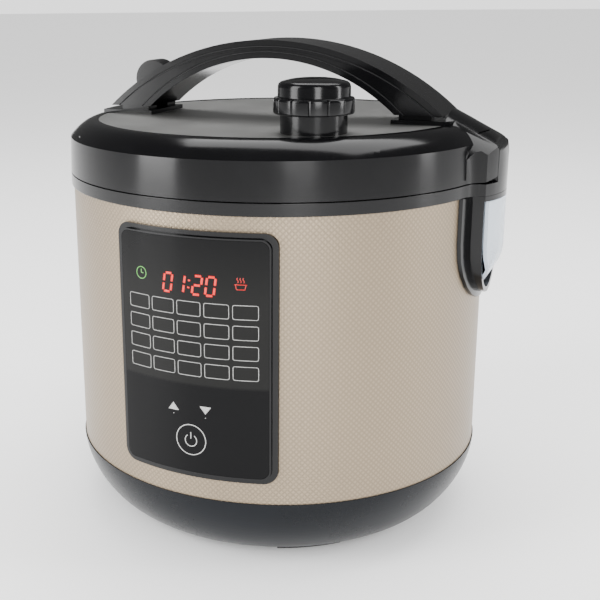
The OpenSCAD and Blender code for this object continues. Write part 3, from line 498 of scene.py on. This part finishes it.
def printed(name, colour):
    """Screen print: a dense pale ink whose edge and cover vary slightly."""
    m, t, shader, place = blank(name, colour, 0.45)
    n = wire(t, "ShaderNodeTexNoise", {"Vector": place, "Scale": 1500.0, "Detail": 2.0})
    t.links.new(mix_colour(t, n.outputs["Fac"], tint(colour, 0.8), tint(colour, 1.1)),
                shader.inputs["Base Color"])
    bump(t, shader, n.outputs["Fac"], 0.08, 0.0001)
    return m


_made = {}


def finish_of(slot):
    """The finished material for one of the record's slots, made the first time it is asked for."""
    if slot in _made:
        return _made[slot]
    s = bpy.context.scene.cooker_finishes
    p = bpy.context.scene.cooker_panel
    gloss = tuple(s.gloss_colour)
    makers = {
        "shell": lambda: shell_metal(tuple(s.shell_colour), s.emboss_pitch),
        "black": lambda: plastic("Gloss black plastic", gloss, 0.14, haze=0.06, strength=0.03,
                                 shine=0.26),
        "handle": lambda: handle_finish(gloss),
        "panel": lambda: panel_face_finish(gloss),
        "display": lambda: plastic("Display housing", (0.05, 0.01, 0.01), 0.4),
        "base": lambda: plastic("Anthracite plastic", tuple(s.base_colour), 0.26, haze=0.06, grain=0.3,
                                grain_scale=2600.0, strength=0.02, shine=0.16),
        "plate": lambda: metal("Brushed lid plate", tuple(s.plate_colour), 0.3, 1500.0, 0.05),
        "rubber": lambda: rubber("Black rubber", (0.014, 0.014, 0.014)),
        "clear": clear_plastic,
        "steel": lambda: metal("Plain steel", (0.52, 0.52, 0.53), 0.3, 2600.0),
        "aluminium": lambda: metal("Spun aluminium", (0.7, 0.71, 0.72), 0.32, 1200.0),
        "cast_aluminium": lambda: metal("Turned cast aluminium", (0.5, 0.51, 0.52), 0.42, 700.0, 0.2),
        "pot": pot_coating,
        "lever": lambda: plastic("Grey latch plastic", (0.07, 0.074, 0.078), 0.4, grain=0.5,
                                 strength=0.1),
        "liner": lambda: plastic("Pale liner plastic", (0.42, 0.42, 0.41), 0.36, haze=0.1, grain=0.5,
                                 strength=0.08),
        "silicone": lambda: rubber("Pale silicone", (0.5, 0.5, 0.48), 0.48),
        "board": board_green,
        "wire": lambda: rubber("Wire insulation", (0.32, 0.05, 0.04), 0.4),
        "print": lambda: printed("Pale print", tuple(p.print_colour)),
        "lit": lambda: glowing("Lit red segments", tuple(p.digit_colour), 0.55),
        "lit_dim": lambda: glowing("Lit red symbol", tint(tuple(p.digit_colour), 0.6), 0.4),
        "lit_green": lambda: glowing("Lit green symbol", (0.12, 0.42, 0.08), 0.8),
    }
    _made[slot] = makers[slot]()
    return _made[slot]


def panel_face_finish(gloss):
    """Dark gloss face, a shade lighter in the band behind the keys."""
    m, t, shader, place = blank("Panel face gloss", gloss, 0.07, Specular_IOR_Level=0.1, IOR=1.5)
    xyz = wire(t, "ShaderNodeSeparateXYZ", {0: place})
    height = FACE_TOP - FACE_LOW
    low, high = FACE_LOW + 0.39 * height, FACE_LOW + 0.9 * height
    up = ramp(t, xyz.outputs["Z"], low - 0.001, low + 0.001)
    down = ramp(t, xyz.outputs["Z"], high + 0.02, high - 0.02)
    band = maths(t, "MULTIPLY", up, down)
    surface = use_group(t, moulded_surface(), Position=place, Waviness=0.2, Grain=0.1)
    t.links.new(mix_colour(t, band, tint(gloss, 1.1), (0.0085, 0.0085, 0.0082)),
                shader.inputs["Base Color"])
    t.links.new(ramp(t, surface.outputs["Haze"], 0.0, 1.0, 0.05, 0.11), shader.inputs["Roughness"])
    bump(t, shader, surface.outputs["Height"], 0.02, 0.0004)
    return m


def handle_finish(gloss):
    """Gloss black with lines engraved in the handle's two side faces. A line is an arc round a centre in
    the X-Z plane, cut where the distance to the arc is small, and only near the side faces."""
    m, t, shader, place = blank("Engraved gloss black", gloss, 0.14, Specular_IOR_Level=0.26, IOR=1.5)
    xyz = wire(t, "ShaderNodeSeparateXYZ", {0: place})
    side = ramp(t, maths(t, "ABSOLUTE", xyz.outputs["Y"]), HANDLE_Y - 0.0012, HANDLE_Y - 0.0006)
    cut = None
    for height, radius in HANDLE_LINES:
        rise = maths(t, "SUBTRACT", xyz.outputs["Z"], height)
        r = maths(t, "SQRT", maths(t, "ADD", maths(t, "POWER", xyz.outputs["X"], 2.0),
                                   maths(t, "MULTIPLY", rise, rise)))
        gap = maths(t, "ABSOLUTE", maths(t, "SUBTRACT", r, radius))
        line = ramp(t, gap, 0.00045, 0.0002)
        cut = line if cut is None else maths(t, "MAXIMUM", cut, line)
    cut = maths(t, "MULTIPLY", cut, side)
    surface = use_group(t, moulded_surface(), Position=place, Waviness=0.35, Grain=0.2)
    t.links.new(mix_colour(t, cut, gloss, tint(gloss, 1.6)), shader.inputs["Base Color"])
    rough = ramp(t, surface.outputs["Haze"], 0.0, 1.0, 0.14, 0.2)
    t.links.new(maths(t, "ADD", rough, maths(t, "MULTIPLY", cut, 0.3)), shader.inputs["Roughness"])
    wave = maths(t, "MULTIPLY", surface.outputs["Height"], 0.05)
    bump(t, shader, maths(t, "SUBTRACT", wave, cut), 0.6, 0.0004)
    return m


# ---------------------------------------------------------------- pieces

def paint(*nodes):
    """Gives CAD nodes the finish of their own slots."""
    slots = {s["node"]: s["material_slot"] for s in frame["record"]["subparts"]}
    for n in nodes:
        mesh = NODES[n].data
        finish = finish_of(slots[n])
        if mesh.materials:
            for i in range(len(mesh.materials)):
                mesh.materials[i] = finish
        else:
            mesh.materials.append(finish)


def on_face(across, up, lift):
    """Points on the curved panel face: across is measured along the arc from its middle line."""
    a = np.asarray(across, float) / FACE_R
    r = FACE_R + lift
    return np.stack([r * np.sin(a), -r * np.cos(a), np.asarray(up, float) + 0 * a], -1)


def strokes(name, segments, width, material, lift=0.00008, thick=0.00012):
    """Printed strokes: each segment (x0, z0, x1, z1) becomes a thin closed bar that follows the face.
    A bar is a grid of five stations along it and four points round it, its ends closed."""
    seg = np.asarray(segments, float)
    a, b = seg[:, :2], seg[:, 2:4]
    along = b - a
    length = np.linalg.norm(along, axis=1, keepdims=True)
    along = along / np.maximum(length, 1e-9)
    side = np.stack([-along[:, 1], along[:, 0]], 1) * width / 2
    s = np.linspace(0, 1, 5)[None, :, None]
    middle = a[:, None] + (b - a)[:, None] * s
    rings = np.stack([middle - side[:, None], middle + side[:, None]], 2)
    low = on_face(rings[..., 0], rings[..., 1], lift - thick)
    high = on_face(rings[..., 0], rings[..., 1], lift)
    verts = np.stack([low[:, :, 0], low[:, :, 1], high[:, :, 1], high[:, :, 0]], 2)
    count = len(seg)
    ring = grid_faces(5, 4, False, True)
    caps = np.array([[3, 2, 1, 0], [16, 17, 18, 19]])
    one = np.concatenate([ring, caps])
    faces = (one[None] + 20 * np.arange(count)[:, None, None]).reshape(-1, 4)
    piece = new_piece(name, "base", material, verts.reshape(-1, 3), faces)
    closed_outwards(piece)
    return piece


def closed_outwards(piece, merge=0.0):
    """Joins points nearer than a distance and turns every face of a closed mesh outwards."""
    b = bmesh.new()
    b.from_mesh(piece.data)
    if merge:
        bmesh.ops.remove_doubles(b, verts=b.verts, dist=merge)
    bmesh.ops.recalc_face_normals(b, faces=b.faces)
    b.to_mesh(piece.data)
    b.free()


def loop(points, closed=True):
    """Segments that join a list of points."""
    p = np.asarray(points, float)
    q = np.roll(p, -1, 0) if closed else p[1:]
    p = p if closed else p[:-1]
    return np.concatenate([p, q], 1)


def circle_points(x, z, r, start=0, end=360, steps=28):
    a = np.radians(np.linspace(start, end, steps, endpoint=(end - start) != 360))
    return np.stack([x + r * np.cos(a), z + r * np.sin(a)], 1)


def key_outlines(p, top_row):
    """Rounded rectangles of the key field, five columns of four."""
    columns = (np.arange(5) - 2) * p.key_step
    rows = top_row - np.arange(4) * 0.012
    outline = rounded_outline(np.array([[-1, -1], [1, -1], [1, 1], [-1, 1]])
                              * np.array([p.key_width, p.key_height]) / 2, 0.0012, 4)
    base = loop(outline)
    return np.concatenate([base + np.array([x, z, x, z]) for x in columns for z in rows])


SEGMENTS = {"0": "abcdef", "1": "bc", "2": "abged"}


def digit_segments(text, x, z, height, slant=0.14):
    """Seven-segment digits leaning to the right, with a colon of two short strokes."""
    w, h, g = height * 0.47, height, height * 0.06
    lines = {"a": (0, h, w, h), "b": (w, h, w, h / 2), "c": (w, h / 2, w, 0), "d": (0, 0, w, 0),
             "e": (0, h / 2, 0, 0), "f": (0, h, 0, h / 2), "g": (0, h / 2, w, h / 2)}
    out = []
    for ch in text:
        if ch == ":":
            for level in (0.3, 0.68):
                out.append((x, level * h, x, level * h + height * 0.09))
            x += height * 0.24
            continue
        for name in SEGMENTS[ch]:
            x0, z0, x1, z1 = lines[name]
            d = np.array([x1 - x0, z1 - z0])
            d = d / np.linalg.norm(d) * g
            out.append((x + x0 + d[0], z0 + d[1], x + x1 - d[0], z1 - d[1]))
        x += w + height * 0.27
    out = np.array(out)
    out[:, [0, 2]] += slant * out[:, [1, 3]]
    out[:, [1, 3]] += z - height / 2
    return out


class COOKER_OT_inner_parts(bpy.types.Operator):
    """Finish the parts inside the body and the lid"""
    bl_idname = "cooker.inner_parts"
    bl_label = "Inner Parts"

    def execute(self, context):
        paint("base_screws", "support_posts", "power_inlet", "power_board", "internal_wires",
              "display_module", "control_board", "heat_shield", "heating_plate", "heater_standoffs",
              "thermal_fuse", "side_heater", "sensor_bracket", "temperature_sensor", "sensor_spring",
              "cooking_pot", "latch_catch", "hinge_pin", "hinge_spring", "lid_liner", "lid_screws",
              "inner_lid", "lid_seal", "inner_lid_grommet", "steam_duct", "valve_gasket", "handle_screws",
              "latch_lever", "latch_pin", "rubber_feet")
        return {"FINISHED"}


class COOKER_OT_body(bpy.types.Operator):
    """Finish the patterned shell, the base bowl and the black top ring"""
    bl_idname = "cooker.body"
    bl_label = "Body"

    def execute(self, context):
        paint("outer_shell", "base_housing")
        softened("top_ring", "base", finish_of("black"), 0.0006)
        return {"FINISHED"}


class COOKER_OT_lid(bpy.types.Operator):
    """Round the lid's edges and finish its metal plate"""
    bl_idname = "cooker.lid"
    bl_label = "Lid"

    def execute(self, context):
        softened("lid_ring", "lid", finish_of("black"), 0.0008, 20, 3)
        paint("lid_plate")
        return {"FINISHED"}


class COOKER_OT_handle(bpy.types.Operator):
    """Round the two handle halves and the release button"""
    bl_idname = "cooker.handle"
    bl_label = "Handle"

    def execute(self, context):
        softened("handle_top", "lid", finish_of("handle"), 0.0022, 34, 4)
        softened("handle_underside", "lid", finish_of("handle"), 0.0014, 34, 3)
        softened("release_button", "button", finish_of("black"), 0.0014, 34, 3)
        return {"FINISHED"}


class COOKER_OT_valve(bpy.types.Operator):
    """Finish the steam valve's body and build its domed twist cap"""
    bl_idname = "cooker.valve"
    bl_label = "Steam Valve"

    def execute(self, context):
        paint("steam_valve_body")
        low, top = corner("steam_valve_cap", 0, 2), corner("steam_valve_cap", 1, 2)
        grip = (corner("steam_valve_cap", 1, 0) - corner("steam_valve_cap", 0, 0)) / 2
        outline, radii = np.array(VALVE_PROFILE)[:, :2], np.array(VALVE_PROFILE)[:, 2]
        outline = outline * np.array([grip, top - low]) + np.array([0.0, low])
        edge = rounded_outline(outline, radii * 0.001, 7)
        edge = edge[np.linalg.norm(edge - np.roll(edge, 1, 0), axis=1) > 1e-7]
        verts, faces = turned(edge, (VALVE_X, VALVE_Y), 320)
        flat = verts[:, :2] - np.array([VALVE_X, VALVE_Y])
        r, a = np.linalg.norm(flat, axis=1), np.arctan2(flat[:, 1], flat[:, 0])
        beat = np.abs((a / TAU * 14) % 1 - 0.5) * 2
        dent = 0.0009 * np.clip((beat - 0.9) / 0.1, 0, 1) * (r > 0.95 * grip)
        verts[:, :2] -= flat / np.maximum(r, 1e-6)[:, None] * dent[:, None]
        cap = new_piece("fine_steam_valve_cap", "valve_cap", finish_of("black"), verts, faces)
        closed_outwards(cap, 1e-6)
        crease(cap, 50)
        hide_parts("steam_valve_cap")
        return {"FINISHED"}


class COOKER_OT_cup(bpy.types.Operator):
    """Finish the condensate cup and round its black housing"""
    bl_idname = "cooker.cup"
    bl_label = "Condensate Cup"

    def execute(self, context):
        softened("condensate_housing", "base", finish_of("black"), 0.0008)
        softened("condensate_cup", "cup", finish_of("clear"), 0.0004)
        return {"FINISHED"}


class COOKER_OT_panel(bpy.types.Operator):
    """Build the control panel's face, its key outlines, symbols and lit digits"""
    bl_idname = "cooker.panel"
    bl_label = "Control Panel"

    def execute(self, context):
        p = context.scene.cooker_panel
        softened("control_panel_frame", "base", finish_of("black"), 0.0012)
        paint("control_panel_face")
        top = FACE_TOP
        keys = key_outlines(p, top - KEYS_DROP)
        strokes("key_outlines", keys, 0.00032, finish_of("print"))
        power = (0.0, top - POWER_DROP)
        x, z = power
        symbol = np.concatenate([
            loop(circle_points(x, z, 0.0094, steps=40)),
            loop(circle_points(x, z - 0.0004, 0.0037, 125, 415, 24), closed=False),
            np.array([[x, z + 0.0006, x, z + 0.0048]])])
        strokes("power_symbol", symbol, 0.00055, finish_of("print"))
        triangles = []
        for x0, sign in ((-0.011, 1), (0.0095, -1)):
            level = top - ARROWS_DROP
            for share in np.linspace(0.06, 0.94, 9):
                half = 0.0036 * (1 - share)
                y = level + sign * (share - 0.5) * 0.0046
                triangles.append((x0 - half, y, x0 + half, y))
        for x0 in (-0.011, 0.0095):
            triangles.append((x0 - 0.0002, top - DOTS_DROP, x0 + 0.0002, top - DOTS_DROP))
        strokes("arrow_marks", triangles, 0.0006, finish_of("print"))
        digits = digit_segments("01:20", -0.0162, top - DIGITS_DROP, p.digit_height)
        strokes("lit_digits", digits, 0.0014, finish_of("lit"))
        cx, cz = -0.0315, top - CLOCK_DROP
        clock = np.concatenate([loop(circle_points(cx, cz, 0.0035, steps=26)),
                                np.array([[cx, cz, cx, cz + 0.0022], [cx, cz, cx + 0.0015, cz]])])
        strokes("clock_symbol", clock, 0.0005, finish_of("lit_green"))
        px, pz = 0.031, top - WARM_DROP
        pot = [np.array([[px - 0.0036, pz, px + 0.0036, pz], [px - 0.003, pz, px - 0.0024, pz - 0.0028],
                         [px + 0.003, pz, px + 0.0024, pz - 0.0028],
                         [px - 0.0024, pz - 0.0028, px + 0.0024, pz - 0.0028]])]
        for k in (-1, 0, 1):
            s = np.linspace(0, 1, 9)
            wave = np.stack([px + k * 0.0017 + 0.0004 * np.sin(s * TAU), pz + 0.0011 + 0.0028 * s], 1)
            pot.append(loop(wave, closed=False))
        strokes("warm_symbol", np.concatenate(pot), 0.0005, finish_of("lit_dim"))
        return {"FINISHED"}


class COOKER_OT_stage(bpy.types.Operator):
    """Set the floor, the lights and the camera"""
    bl_idname = "cooker.stage"
    bl_label = "Stage"

    def execute(self, context):
        scene = context.scene
        mesh = bpy.data.meshes.new("floor")
        mesh.from_pydata([(-30, -30, 0), (30, -30, 0), (30, 30, 0), (-30, 30, 0)], [], [(0, 1, 2, 3)])
        floor = bpy.data.objects.new("floor", mesh)
        scene.collection.objects.link(floor)
        m, t, shader, place = blank("Pale floor", (0.86, 0.86, 0.86), 0.5)
        n = wire(t, "ShaderNodeTexNoise", {"Vector": place, "Scale": 3.0})
        t.links.new(mix_colour(t, n.outputs["Fac"], (0.96, 0.96, 0.96), (0.98, 0.98, 0.98)),
                    shader.inputs["Base Color"])
        mesh.materials.append(m)
        world = bpy.data.worlds.new("Pale room")
        world.use_nodes = True
        air = world.node_tree
        path = wire(air, "ShaderNodeLightPath")
        lit = ramp(air, path.outputs["Is Glossy Ray"], 0, 1, 1.7, 0.14)
        seen = wire(air, "ShaderNodeMix", {0: path.outputs["Is Camera Ray"], 2: lit, 3: 1.85})
        air.nodes["Background"].inputs[0].default_value = (1, 1, 1, 1)
        air.links.new(seen.outputs[0], air.nodes["Background"].inputs[1])
        scene.world = world
        target = Vector((0.0, 0.0, 0.15))
        for name, place, size, power in (
                ("Left softbox", (-1.15, -1.25, 0.75), (0.75, 1.5), 42),
                ("Front softbox", (0.95, -1.55, 0.75), (0.55, 1.3), 30),
                ("Top softbox", (0.0, 0.5, 1.6), (1.6, 1.0), 26),
                ("Right strip", (1.7, 0.35, 0.7), (0.3, 1.3), 16)):
            lamp = bpy.data.lights.new(name, "AREA")
            lamp.shape = "RECTANGLE"
            lamp.size, lamp.size_y = size
            lamp.energy = power
            o = bpy.data.objects.new(name, lamp)
            o.location = place
            o.rotation_euler = (target - Vector(place)).to_track_quat("-Z", "Y").to_euler()
            scene.collection.objects.link(o)
        camera = bpy.data.cameras.new("Camera")
        camera.lens = 60.96
        camera.sensor_width = 36
        camera.shift_x, camera.shift_y = 0.12, -0.04
        camera.clip_start, camera.clip_end = 0.05, 30
        eye = bpy.data.objects.new("Camera", camera)
        right, up = Vector((0.9137, 0.4062, -0.0096)), Vector((-0.098, 0.2433, 0.965))
        back = right.cross(up).normalized()
        turn = Matrix((right, back.cross(right), back)).transposed()
        eye.matrix_world = Matrix.Translation((0.2440, -0.6288, 0.3335)) @ turn.to_4x4()
        scene.collection.objects.link(eye)
        scene.camera = eye
        return {"FINISHED"}


class COOKER_PT_sidebar(bpy.types.Panel):
    bl_label = "Electric Multicooker"
    bl_idname = "COOKER_PT_sidebar"
    bl_space_type = "VIEW_3D"
    bl_region_type = "UI"
    bl_category = "Cooker"

    def draw(self, context):
        for settings in (context.scene.cooker_finishes, context.scene.cooker_panel):
            for key in settings.__annotations__:
                self.layout.prop(settings, key)
        for step in STEPS:
            self.layout.operator(step.bl_idname)


STEPS = (COOKER_OT_inner_parts, COOKER_OT_body, COOKER_OT_lid, COOKER_OT_handle, COOKER_OT_valve,
         COOKER_OT_cup, COOKER_OT_panel, COOKER_OT_stage)
CLASSES = (CookerFinishes, CookerPanel, *STEPS, COOKER_PT_sidebar)


def register():
    for c in CLASSES:
        bpy.utils.register_class(c)
    bpy.types.Scene.cooker_finishes = bpy.props.PointerProperty(type=CookerFinishes)
    bpy.types.Scene.cooker_panel = bpy.props.PointerProperty(type=CookerPanel)


def unregister():
    del bpy.types.Scene.cooker_panel
    del bpy.types.Scene.cooker_finishes
    for c in reversed(CLASSES):
        bpy.utils.unregister_class(c)


def main():
    register()
    for step in STEPS:
        group_name, name = step.bl_idname.split(".")
        getattr(getattr(bpy.ops, group_name), name)()


if __name__ == "__main__":
    main()
